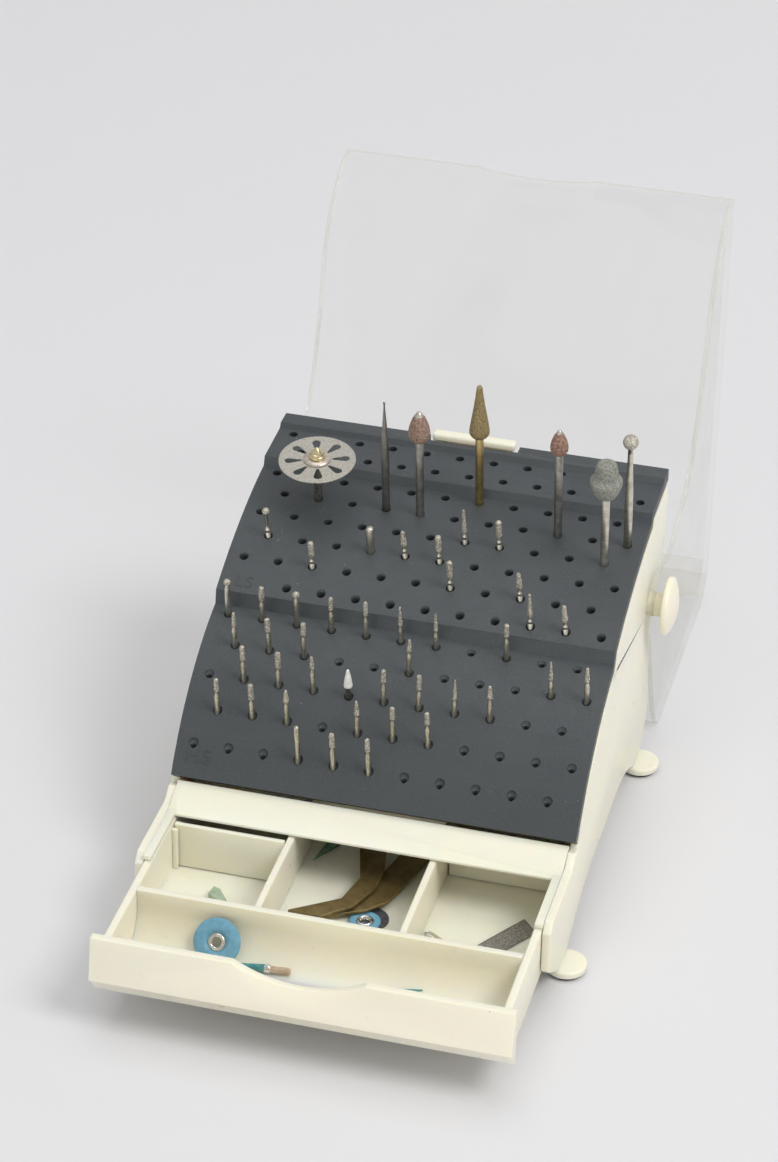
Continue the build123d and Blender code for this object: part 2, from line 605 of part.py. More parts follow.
save("panel_guides", *make_guides(-1, LEFT_PANEL_Y), *make_guides(1, RIGHT_PANEL_Y))
save_drawer_contents()
save_short_burs()
save_long_burs()
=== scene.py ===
"""Looks for the rotary bur stand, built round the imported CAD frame."""

import json
import random
from math import cos, pi, radians, sin, sqrt

import bmesh
import bpy
import numpy as np
from mathutils import Matrix, Vector, noise


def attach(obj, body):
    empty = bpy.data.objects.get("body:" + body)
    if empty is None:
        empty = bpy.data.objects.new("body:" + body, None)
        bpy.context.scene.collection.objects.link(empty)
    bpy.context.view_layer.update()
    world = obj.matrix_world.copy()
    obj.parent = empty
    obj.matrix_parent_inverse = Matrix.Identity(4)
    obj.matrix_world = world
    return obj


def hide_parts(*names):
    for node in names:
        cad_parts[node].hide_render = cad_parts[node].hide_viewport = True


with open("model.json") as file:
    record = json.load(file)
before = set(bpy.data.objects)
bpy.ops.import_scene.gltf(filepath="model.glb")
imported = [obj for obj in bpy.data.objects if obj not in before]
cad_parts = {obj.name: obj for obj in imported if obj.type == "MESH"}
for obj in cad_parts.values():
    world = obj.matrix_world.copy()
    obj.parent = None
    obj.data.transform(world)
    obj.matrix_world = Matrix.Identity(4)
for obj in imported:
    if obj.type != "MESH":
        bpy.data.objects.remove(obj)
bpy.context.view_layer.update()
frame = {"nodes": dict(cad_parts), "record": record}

MM = 0.001
LEAN_DEG = 6.5                        # the sockets lean towards the user
BENCH_Y = -52.15                      # from y on the bench drawing to y in the frame, mm
SOCKET_DEEP = 6.05                    # a seated shank ends this far under the plate's face, mm
UP_BUR = Vector((0, -sin(radians(LEAN_DEG)), cos(radians(LEAN_DEG))))
CAD = frame["nodes"]
BODY_OF = {n: b for b, nodes in frame["record"]["behaviour"]["bodies"].items() for n in nodes}
SLOT_OF = {s["node"]: s["material_slot"] for s in frame["record"]["subparts"]}


# ---- camera and stage ----------------------------------------------------------------------------
def make_camera():
    data = bpy.data.cameras.new("camera")
    data.sensor_width = 36.0
    data.lens = 111.48
    data.clip_start, data.clip_end = 0.05, 30.0
    cam = bpy.data.objects.new("camera", data)
    bpy.context.scene.collection.objects.link(cam)
    ahead = Vector((-0.21079, 0.81788, -0.53539)).normalized()
    up = Vector((-0.15037, 0.51405, 0.84448))
    right = ahead.cross(up).normalized()
    up = right.cross(ahead)
    turn = Matrix((right, up, -ahead)).transposed().to_4x4()
    cam.matrix_world = Matrix.Translation((0.20201, -0.82605, 0.61062)) @ turn
    bpy.context.scene.camera = cam


def area_light(name, place, target, size, power, tint=(1, 1, 1), size_y=None):
    data = bpy.data.lights.new(name, "AREA")
    data.shape = "RECTANGLE"
    data.size, data.size_y = size, size_y or size
    data.energy, data.color = power, tint
    lamp = bpy.data.objects.new(name, data)
    bpy.context.scene.collection.objects.link(lamp)
    lamp.location = place
    lamp.rotation_mode = "QUATERNION"
    lamp.rotation_quaternion = (Vector(target) - Vector(place)).to_track_quat("-Z", "Y")


def make_stage():
    """A pale sweep: floor, a wide curve, and a wall behind."""
    run = [(-2.2, 0.0), (-1.0, 0.0), (0.0, 0.0), (0.9, 0.0)]
    bend = 0.9
    for k in range(1, 13):
        turn = k / 12 * pi / 2
        run.append((0.9 + bend * sin(turn), bend * (1 - cos(turn))))
    run.append((1.8, 3.2))
    bm = bmesh.new()
    rows = [[bm.verts.new((x, y, z)) for x in (-3.5, 3.5)] for y, z in run]
    for low, high in zip(rows, rows[1:]):
        bm.faces.new((low[0], low[1], high[1], high[0])).smooth = True
    floor = new_object("floor", bm, [floor_material()])
    world = bpy.data.worlds.new("studio")
    bpy.context.scene.world = world
    world.use_nodes = True
    sky = world.node_tree.nodes["Background"]
    sky.inputs["Color"].default_value = (1.0, 0.99, 0.975, 1)
    sky.inputs["Strength"].default_value = 0.57
    area_light("key", (1.35, -0.55, 1.9), (0, 0, 0.03), 0.9, 24, (1.0, 0.99, 0.97))
    area_light("top", (0.0, 0.35, 2.3), (0, 0.05, 0), 1.6, 12, (0.98, 0.99, 1.0))
    area_light("front", (-0.45, -1.9, 0.26), (0, 0, 0.01), 2.2, 6, (1.0, 1.0, 1.0), 0.45)
    scene = bpy.context.scene
    scene.view_settings.view_transform = "Standard"
    scene.view_settings.look = "None"
    scene.view_settings.exposure = 0.0


# ---- material helpers -------------------------------------------------------------------------------
class Finish:
    """A node material under construction, read in object space, so that its scales are per metre."""

    def __init__(self, name):
        self.material = bpy.data.materials.new(name)
        self.material.use_nodes = True
        self.tree = self.material.node_tree
        self.shader = self.tree.nodes["Principled BSDF"]
        self.place = self.tree.nodes.new("ShaderNodeTexCoord").outputs["Object"]

    def node(self, kind, **settings):
        made = self.tree.nodes.new(kind)
        for key, value in settings.items():
            setattr(made, key, value)
        return made

    def link(self, source, socket):
        self.tree.links.new(source, socket)

    def set(self, **values):
        """Plain numbers on the shader's own sockets."""
        for key, value in values.items():
            self.shader.inputs[key.replace("_", " ")].default_value = value

    def stretched(self, scale):
        mapping = self.node("ShaderNodeMapping")
        mapping.inputs["Scale"].default_value = scale
        self.link(self.place, mapping.inputs["Vector"])
        return mapping.outputs["Vector"]

    def noise(self, scale, detail=3.0, rough=0.55, place=None):
        made = self.node("ShaderNodeTexNoise")
        made.inputs["Scale"].default_value = scale
        made.inputs["Detail"].default_value = detail
        made.inputs["Roughness"].default_value = rough
        self.link(place or self.place, made.inputs["Vector"])
        return made.outputs["Fac"]

    def cells(self, scale, feature="F1", place=None):
        made = self.node("ShaderNodeTexVoronoi", feature=feature)
        made.inputs["Scale"].default_value = scale
        self.link(place or self.place, made.inputs["Vector"])
        return made.outputs["Distance"]

    def ramp(self, source, *stops):
        made = self.node("ShaderNodeValToRGB")
        bar = made.color_ramp
        while len(bar.elements) < len(stops):
            bar.elements.new(0.5)
        for element, (at, value) in zip(bar.elements, stops):
            element.position = at
            element.color = (*value, 1) if isinstance(value, tuple) else (value, value, value, 1)
        self.link(source, made.inputs["Fac"])
        return made.outputs["Color"]

    def mix(self, share, a, b, blend="MIX"):
        made = self.node("ShaderNodeMix", data_type="RGBA", blend_type=blend)
        for key, value, kind in (("Factor", share, "VALUE"), ("A", a, "RGBA"), ("B", b, "RGBA")):
            socket = next(s for s in made.inputs if s.name == key and s.type == kind)
            if isinstance(value, (int, float)):
                socket.default_value = value
            elif isinstance(value, tuple):
                socket.default_value = (*value, 1)
            else:
                self.link(value, socket)
        return next(s for s in made.outputs if s.type == "RGBA")

    def colour(self, source):
        self.link(source, self.shader.inputs["Base Color"])

    def roughness(self, source):
        self.link(source, self.shader.inputs["Roughness"])

    def bump(self, *heights):
        """Bumps from (source, strength, distance) stacked one on the other."""
        normal = None
        for source, strength, distance in heights:
            made = self.node("ShaderNodeBump")
            made.inputs["Strength"].default_value = strength
            made.inputs["Distance"].default_value = distance
            self.link(source, made.inputs["Height"])
            if normal is not None:
                self.link(normal, made.inputs["Normal"])
            normal = made.outputs["Normal"]
        self.link(normal, self.shader.inputs["Normal"])


def floor_material():
    f = Finish("floor_paper")
    f.colour(f.ramp(f.noise(1.2, 2.0), (0.3, (0.705, 0.705, 0.725)), (0.7, (0.72, 0.72, 0.74))))
    f.roughness(f.ramp(f.noise(60, 3.0), (0.3, 0.62), (0.7, 0.75)))
    f.bump((f.noise(900, 2.0), 0.05, 0.0002))
    return f.material


def cream_material():
    """Glossy ivory ABS: faint mottling, an orange-peel skin, and a few dark specks."""
    f = Finish("cream_plastic")
    tone, warm = (0.855, 0.825, 0.70), (0.87, 0.81, 0.60)
    cloudy = f.ramp(f.noise(28, 4.0), (0.35, 0.0), (0.75, 1.0))
    body = f.mix(cloudy, tone, tuple((a * 2 + b) / 3 for a, b in zip(tone, warm)))
    specks = f.ramp(f.noise(900, 1.0, 0.3), (0.0, 1.0), (0.13, 1.0), (0.15, 0.0))
    f.colour(f.mix(specks, body, (0.42, 0.33, 0.20)))
    smears = f.noise(160, 5.0, 0.7)
    f.roughness(f.ramp(smears, (0.3, 0.26), (0.72, 0.44)))
    f.bump((f.noise(1500, 2.0), 0.07, 0.00012), (f.noise(90, 2.0), 0.05, 0.0006))
    f.set(Subsurface_Weight=0.4, Subsurface_Scale=0.0035, Specular_IOR_Level=0.5)
    f.shader.inputs["Subsurface Radius"].default_value = (1.0, 0.6, 0.18)
    return f.material


def plate_material():
    """Dark blue-grey plastic with a fine sandy moulded grain and a trace of dust."""
    f = Finish("plate_plastic")
    grain = f.noise(2600, 3.0, 0.6)
    tone = f.ramp(f.noise(45, 3.0), (0.3, (0.044, 0.052, 0.057)), (0.7, (0.053, 0.062, 0.067)))
    sandy = f.mix(f.ramp(grain, (0.35, 0.0), (0.68, 1.0)), tone, (0.066, 0.075, 0.080))
    dust = f.ramp(f.noise(1300, 1.5, 0.4), (0.0, 0.0), (0.795, 0.0), (0.83, 0.7))
    f.colour(f.mix(dust, sandy, (0.45, 0.46, 0.45)))
    f.roughness(f.ramp(f.noise(240, 4.0, 0.7), (0.3, 0.40), (0.7, 0.54)))
    f.bump((grain, 0.34, 0.00010), (f.noise(700, 2.0), 0.12, 0.00018))
    f.set(Specular_IOR_Level=0.42)
    return f.material


def rubber_material():
    f = Finish("pad_rubber")
    f.colour(f.ramp(f.noise(500, 3.0), (0.3, (0.012, 0.012, 0.013)), (0.7, (0.03, 0.03, 0.03))))
    f.roughness(f.ramp(f.noise(300), (0.3, 0.6), (0.7, 0.85)))
    f.bump((f.noise(1800, 2.0), 0.2, 0.0001))
    return f.material


def clear_material(name, haze, tone, tint, mirror):
    """Clear moulded sheet that bends nothing behind it: haze, and a gloss that grows at glancing angles."""
    f = Finish(name)
    smear = f.noise(55, 6.0, 0.75)
    f.colour(f.ramp(f.noise(20, 2.0), (0.3, tone), (0.7, tuple(c * 0.97 for c in tone))))
    f.roughness(f.ramp(smear, (0.3, 0.25), (0.75, 0.45)))
    through = f.node("ShaderNodeBsdfTransparent")
    through.inputs["Color"].default_value = (*tint, 1)
    gloss = f.node("ShaderNodeBsdfGlossy")
    gloss.inputs["Color"].default_value = (1, 1, 1, 1)
    f.link(f.ramp(smear, (0.45, 0.05), (0.8, 0.16)), gloss.inputs["Roughness"])
    facing = f.node("ShaderNodeLayerWeight")
    facing.inputs["Blend"].default_value = 0.5
    shine = f.ramp(facing.outputs["Facing"], (0.0, mirror), (0.45, mirror * 1.6), (0.75, mirror * 4),
                   (1.0, mirror * 12))
    window = f.node("ShaderNodeMixShader")
    f.link(shine, window.inputs[0])
    f.link(through.outputs[0], window.inputs[1])
    f.link(gloss.outputs[0], window.inputs[2])
    sheet = f.node("ShaderNodeMixShader")
    f.link(f.ramp(smear, (0.35, haze), (0.8, haze * 1.5 + 0.01)), sheet.inputs[0])
    f.link(window.outputs[0], sheet.inputs[1])
    f.link(f.shader.outputs[0], sheet.inputs[2])
    f.link(sheet.outputs[0], f.tree.nodes["Material Output"].inputs["Surface"])
    return f.material


def metal_material(name, dark, light, rough=(0.22, 0.42), stretch=(900, 900, 5000), pits=0.10,
                   metallic=1.0):
    """Turned metal with fine tool marks, patchy tarnish and small pits."""
    f = Finish(name)
    patch = f.noise(420, 5.0, 0.7)
    marks = f.noise(1.0, 3.0, 0.6, f.stretched(stretch))
    toned = f.ramp(patch, (0.3, dark), (0.68, light))
    f.colour(f.mix(f.ramp(marks, (0.3, 0.25), (0.7, 0.0)), toned, tuple(c * 0.6 for c in dark)))
    f.roughness(f.ramp(marks, (0.25, rough[0]), (0.75, rough[1])))
    f.bump((marks, pits, 0.00006), (f.noise(2500, 2.0), pits * 0.6, 0.00006))
    f.set(Metallic=metallic)
    return f.material


def grit_material(name, dark, light, scale, metallic, rough, strength, painted_glint_share):
    """Bonded or plated grit: sharp grains of two tones, with painted glints here and there: spots of
    near-white base colour that stand in for facets catching the light.
    """
    f = Finish(name)
    grains = f.cells(scale)
    crumbs = f.noise(scale * 0.6, 4.0, 0.7)
    base = f.mix(f.ramp(crumbs, (0.38, 0.0), (0.64, 1.0)), dark, light)
    # painted glints: random spots of near-white base colour standing in for light caught by grit facets
    painted_glints = f.ramp(f.noise(scale * 0.9, 1.0, 0.3), (0.0, 0.0), (0.66, 0.0), (0.74, painted_glint_share))
    f.colour(f.mix(painted_glints, base, tuple(min(1.0, c * 1.9 + 0.12) for c in light)))
    f.roughness(f.ramp(crumbs, (0.3, rough[0]), (0.7, rough[1])))
    f.bump((grains, strength, 0.00012), (crumbs, strength * 0.6, 0.00012))
    f.set(Metallic=metallic)
    return f.material


def plain_material(name, dark, light, scale=300, rough=(0.35, 0.55), bump=(1800, 0.15, 0.0001), **sockets):
    """Coloured plastic, rubber or bristle with a cloudy tone and a fine skin."""
    f = Finish(name)
    f.colour(f.ramp(f.noise(scale, 4.0, 0.6), (0.32, dark), (0.68, light)))
    f.roughness(f.ramp(f.noise(scale * 1.7, 3.0), (0.3, rough[0]), (0.7, rough[1])))
    f.bump((f.noise(bump[0], 2.0), bump[1], bump[2]))
    f.set(**sockets)
    return f.material


# ---- mesh helpers -----------------------------------------------------------------------------------
def new_object(name, bm, materials):
    mesh = bpy.data.meshes.new(name)
    bm.normal_update()
    bm.to_mesh(mesh)
    bm.free()
    for material in materials:
        mesh.materials.append(material)
    made = bpy.data.objects.new(name, mesh)
    bpy.context.scene.collection.objects.link(made)
    return made


def stand_for(piece, *nodes):
    """Ride with the first node's body and replace the nodes."""
    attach(piece, BODY_OF[nodes[0]])
    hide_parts(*nodes)
    return piece


def welded(node):
    """The CAD node's mesh as a bmesh whose faces share their corners."""
    bm = bmesh.new()
    bm.from_mesh(CAD[node].data)
    bmesh.ops.remove_doubles(bm, verts=bm.verts, dist=0.002 * MM)
    return bm


def clean_copy(node):
    """The CAD node's mesh as a bmesh with its flat faces merged."""
    bm = welded(node)
    bmesh.ops.dissolve_limit(bm, angle_limit=radians(0.6), verts=bm.verts, edges=bm.edges)
    for face in bm.faces:
        face.smooth = True
    return bm


def soften(node, width, material):
    """Replace a CAD node by the same shape with its edges rounded."""
    piece = new_object(node + "_rounded", clean_copy(node), [material])
    bevel = piece.modifiers.new("edges", "BEVEL")
    bevel.width, bevel.segments = width * MM, 3
    bevel.limit_method, bevel.angle_limit = "ANGLE", radians(28)
    bevel.harden_normals = True
    bevel.miter_outer = "MITER_ARC"
    return stand_for(piece, node)


def smooth_arcs(piece, arcs):
    """Give faces that lie on a curve (centre y, centre z and radius, bench mm) the curve's own normals."""
    graph = bpy.context.evaluated_depsgraph_get()
    mesh = bpy.data.meshes.new_from_object(piece.evaluated_get(graph))
    piece.modifiers.clear()
    piece.data = mesh
    normals = [corner.vector.copy() for corner in mesh.corner_normals]
    for face in mesh.polygons:
        for loop in face.loop_indices:
            at = mesh.vertices[mesh.loops[loop].vertex_index].co / MM
            for centre_y, centre_z, radius in arcs:
                out = Vector((0, at.y - BENCH_Y - centre_y, at.z - centre_z))
                if abs(out.length - radius) < 0.06 and face.normal.angle(out, pi) < radians(3):
                    normals[loop] = out.normalized()
    mesh.normals_split_custom_set(normals)


def mark_rim(piece, material):
    """Give the lid's cut edges, round its cheeks and along its top, a material of their own."""
    mesh = piece.data
    mesh.materials.append(material)
    xs = [abs(v.co.x) for v in mesh.vertices]
    inner = max(xs) - 1.6 * MM
    high = max(v.co.z for v in mesh.vertices)
    back = max(v.co.y for v in mesh.vertices)
    for face in mesh.polygons:
        corners = [mesh.vertices[k].co for k in face.vertices]
        side = abs(face.normal.x) < 0.3 and all(abs(c.x) > inner for c in corners)
        on_sheet = all(c.y > back - 1.7 * MM for c in corners) or \
            (abs(face.normal.z) > 0.9 and all(c.z < 3 * MM for c in corners))
        top = face.normal.z > 0.7 and all(c.z > high - 1 * MM for c in corners)
        if top or (side and not on_sheet):
            face.material_index = 1


def islands(node):
    """The separate solids of a CAD node, each as its vertex positions."""
    bm = welded(node)
    seen, found = set(), []
    for start in bm.verts:
        if start in seen:
            continue
        group, queue = [], [start]
        seen.add(start)
        while queue:
            vert = queue.pop()
            group.append(vert.co.copy())
            for edge in vert.link_edges:
                other = edge.other_vert(vert)
                if other not in seen:
                    seen.add(other)
                    queue.append(other)
        found.append(group)
    bm.free()
    return found


def seats(node):
    """Where each bur of a CAD node crosses the plate's face, as matrices whose Z runs up the bur."""
    found = []
    for group in islands(node):
        low = min(p.dot(UP_BUR) for p in group)
        ring = [p for p in group if p.dot(UP_BUR) < low + 3e-5]
        foot = sum(ring, Vector()) / len(ring)
        found.append(foot + UP_BUR * SOCKET_DEEP * MM)
    found.sort(key=lambda p: (round(p.y, 4), p.x))
    tilt = Matrix.Rotation(radians(LEAN_DEG), 4, "X")
    return [Matrix.Translation(p) @ tilt for p in found]


def lathe(bm, place, profile, sides, rough=0.0, seed=0):
    """Revolve (radius, height, material) points in mm about the Z axis of place.

    A segment takes the material of its upper point. rough pushes the points of grit bands (material 1)
    in and out by about that many mm.
    """
    rings = []
    shift = Vector((seed * 7.31, seed * 3.17, seed * 1.93))
    for radius, height, kind in profile:
        if radius <= 0:
            rings.append(([bm.verts.new(place @ Vector((0, 0, height * MM)))], kind))
            continue
        ring = []
        for k in range(sides):
            turn = 2 * pi * k / sides
            out = radius
            if kind and rough:
                at = Vector((radius * cos(turn), radius * sin(turn), height)) * 3.1 + shift
                out += rough * (noise.noise(at) + 0.6 * noise.noise(at * 2.3))
            ring.append(bm.verts.new(place @ (Vector((out * cos(turn), out * sin(turn), height)) * MM)))
        rings.append((ring, kind))
    for (low, _), (high, kind) in zip(rings, rings[1:]):
        for k in range(sides):
            nxt = (k + 1) % sides
            if len(low) == 1 and len(high) == 1:
                continue
            if len(low) == 1:
                corners = (low[0], high[nxt], high[k])
            elif len(high) == 1:
                corners = (low[k], low[nxt], high[0])
            else:
                corners = (low[k], low[nxt], high[nxt], high[k])
            face = bm.faces.new(corners)
            face.smooth = True
            face.material_index = kind


def fine(points, step=0.16):
    """Resample a profile so that its grit bands have points every step mm."""
    out = [points[0]]
    for (r0, z0, _), (r1, z1, kind) in zip(points, points[1:]):
        length = sqrt((r1 - r0) ** 2 + (z1 - z0) ** 2)
        count = max(1, round(length / step)) if kind else 1
        for k in range(1, count + 1):
            t = k / count
            out.append((r0 + (r1 - r0) * t, z0 + (z1 - z0) * t, kind))
    return out


def dome(radius, low, high, steps=4):
    """Profile points of a grit-covered rounded end."""
    turns = [k / steps * pi / 2 for k in range(1, steps)]
    return [(radius * cos(t), low + (high - low) * sin(t), 1) for t in turns] + [(0, high, 1)]


def sphere_run(radius, centre, start, kind, steps=12):
    """Profile points of a ball from the angle start (degrees from its bottom) to its top."""
    turns = [radians(start + (180 - start) * k / steps) for k in range(steps)]
    return [(radius * sin(t), centre - radius * cos(t), kind) for t in turns] + [(0, centre + radius, kind)]


# ---- burs -------------------------------------------------------------------------------------------
FINE_R, HAND_R = 0.8, 1.175
DEEP = -SOCKET_DEEP
FINE_FOOT = [(0, DEEP, 0), (0.6, DEEP, 0), (FINE_R, DEEP + 0.25, 0)]
HAND_FOOT = [(0, DEEP, 0), (0.85, DEEP, 0), (HAND_R, DEEP + 0.3, 0)]


def fine_profile(kind, rnd):
    """A bur of 1.6 mm shank from its foot to its tip."""
    top = 12.2 + rnd.uniform(-0.5, 0.5)
    head = {"cylinder": 4.9, "taper": 4.8, "needle": 6.2, "round": 2.0, "flame": 5.4}.get(kind, 0) + \
        rnd.uniform(-0.5, 0.6)
    neck = top - head
    if kind == "stub":
        return FINE_FOOT + [(FINE_R, top - 0.7, 0), (0.72, top - 0.3, 0), (0.45, top - 0.05, 0), (0, top, 0)]
    stem = FINE_FOOT + [(FINE_R, neck - 1.9, 0), (0.74, neck - 1.5, 0), (0.5, neck - 0.4, 0),
                        (0.45, neck, 0)]
    wide = rnd.uniform(0.62, 0.78)
    if kind == "cylinder":
        return stem + [(wide - 0.08, neck + 0.15, 1), (wide, neck + 0.5, 1),
                       (wide - 0.04, top - 0.45, 1)] + dome(wide - 0.06, top - 0.42, top)
    if kind == "taper":
        return stem + [(wide, neck + 0.25, 1), (wide - 0.05, neck + 1.2, 1), (0.4, top - 0.4, 1)] + \
            dome(0.38, top - 0.35, top)
    if kind == "needle":
        return stem + [(0.6, neck + 0.3, 1), (0.52, neck + 1.4, 1), (0.2, top + 0.3, 1), (0, top + 0.7, 1)]
    if kind == "round":
        return stem + [(0.42, top - 1.9, 0)] + sphere_run(1.0, top - 1.0, 28, 1)
    return FINE_FOOT + [(FINE_R, 3.75, 0), (0.9, 3.8, 1), (1.18, 4.0, 1), (1.24, 4.5, 1), (0.95, 6.8, 1),
                        (0.46, 9.4, 1)] + dome(0.42, 9.45, 9.95)


def low_profile(kind, rnd):
    """A short bur standing loose in a wide socket: two small collars at the plate, then the head."""
    top = {"needle": 11.4, "round": 9.7, "stub": 8.2}.get(kind, 9.2) + rnd.uniform(-0.35, 0.35)
    if kind == "stub":
        return HAND_FOOT + [(HAND_R, top - 0.7, 0), (1.0, top - 0.2, 0), (0.75, top - 0.02, 0), (0, top, 0)]
    stem = FINE_FOOT + [(FINE_R, 1.2, 0), (0.66, 1.35, 0), (0.66, 1.7, 0), (FINE_R, 1.85, 0),
                        (FINE_R, 2.4, 0), (0.62, 2.6, 0), (0.55, 3.6, 0)]
    if kind == "cylinder":
        return stem + [(0.62, 3.9, 1), (0.82, 4.3, 1), (0.84, top - 0.5, 1)] + dome(0.8, top - 0.5, top)
    if kind == "taper":
        return stem + [(0.7, 3.9, 1), (0.88, 4.4, 1), (0.55, top - 0.4, 1)] + dome(0.5, top - 0.35, top)
    if kind == "needle":
        return stem + [(0.6, 3.9, 1), (0.74, 4.4, 1), (0.36, top - 0.3, 1), (0, top + 0.1, 1)]
    return stem + [(0.42, top - 2.0, 0)] + sphere_run(1.05, top - 1.05, 25, 1)


def make_short_burs(steel, grit, white):
    rnd = random.Random(11)
    for node in CAD:
        if not node.endswith("_burs"):
            continue
        family, kind, _ = node.split("_")
        bm = bmesh.new()
        for number, place in enumerate(seats(node)):
            profile = fine_profile(kind, rnd) if family == "fine" else low_profile(kind, rnd)
            lean, loose = (0.0, 0.6) if family == "fine" or kind == "stub" else (-2.8, 0.8)
            sway = Matrix.Rotation(radians(rnd.gauss(lean, loose)), 4, "Y") @ \
                Matrix.Rotation(radians(rnd.gauss(0, loose * 0.5)), 4, "X")
            rough = 0.0 if kind == "flame" else 0.16
            lathe(bm, place @ sway, fine(profile), 20, rough, number + len(node) * 3)
        head = white if kind == "flame" else grit
        stand_for(new_object(node + "_turned", bm, [steel, head]), node)


def make_long_tool(node, profile, materials, rough=0.0, sides=32, seed=0):
    """One turned piece of a long tool, on the axis of that tool's shank."""
    bm = bmesh.new()
    lathe(bm, PLACE_OF[node], fine(profile, 0.22), sides, rough, seed)
    return stand_for(new_object(node + "_turned", bm, materials), node)


def shank_profile(top):
    """A plain 2.35 mm shank, chamfered at both ends."""
    return HAND_FOOT + [(HAND_R, 0.5, 0), (HAND_R, 8.0, 0), (HAND_R, 14.0, 0), (HAND_R, top - 0.4, 0),
                        (0.9, top, 0), (0, top, 0)]


def make_slotted_disc(place, material):
    """The diamond disc: a thin plate with eight drop-shaped windows round its hub."""
    curve = bpy.data.curves.new("disc_outline", "CURVE")
    curve.dimensions, curve.fill_mode = "2D", "BOTH"
    curve.extrude, curve.bevel_depth, curve.bevel_resolution = 0.11 * MM, 0.06 * MM, 2

    def loop(points):
        spline = curve.splines.new("POLY")
        spline.points.add(len(points) - 1)
        for point, (x, y) in zip(spline.points, points):
            point.co = (x * MM, y * MM, 0, 1)
        spline.use_cyclic_u = True

    def circle(radius, count):
        return [(radius * cos(2 * pi * k / count), radius * sin(2 * pi * k / count)) for k in range(count)]

    loop(circle(10.9, 96))
    loop(circle(1.0, 24))
    inner, outer, small, large = 4.7, 8.0, 0.5, 1.3
    for n in range(8):
        turn = 2 * pi * n / 8 + 0.30
        drop = []
        for k in range(9):
            a = -pi / 2 + pi * k / 8
            drop.append((outer + large * cos(a), large * sin(a)))
        for k in range(7):
            a = pi / 2 + pi * k / 6
            drop.append((inner + small * cos(a), small * sin(a)))
        loop([(x * cos(turn) - y * sin(turn), x * sin(turn) + y * cos(turn)) for x, y in drop])
    holder = bpy.data.objects.new("disc_outline", curve)
    mesh = bpy.data.meshes.new_from_object(holder)
    bpy.data.objects.remove(holder)
    bm = bmesh.new()
    bm.from_mesh(mesh)
    bpy.data.meshes.remove(mesh)
    bmesh.ops.remove_doubles(bm, verts=bm.verts, dist=1e-6)
    bm.transform(place @ Matrix.Translation((0, 0, 13.9 * MM)))
    return stand_for(new_object("diamond_disc_slotted", bm, [material]), "diamond_disc")


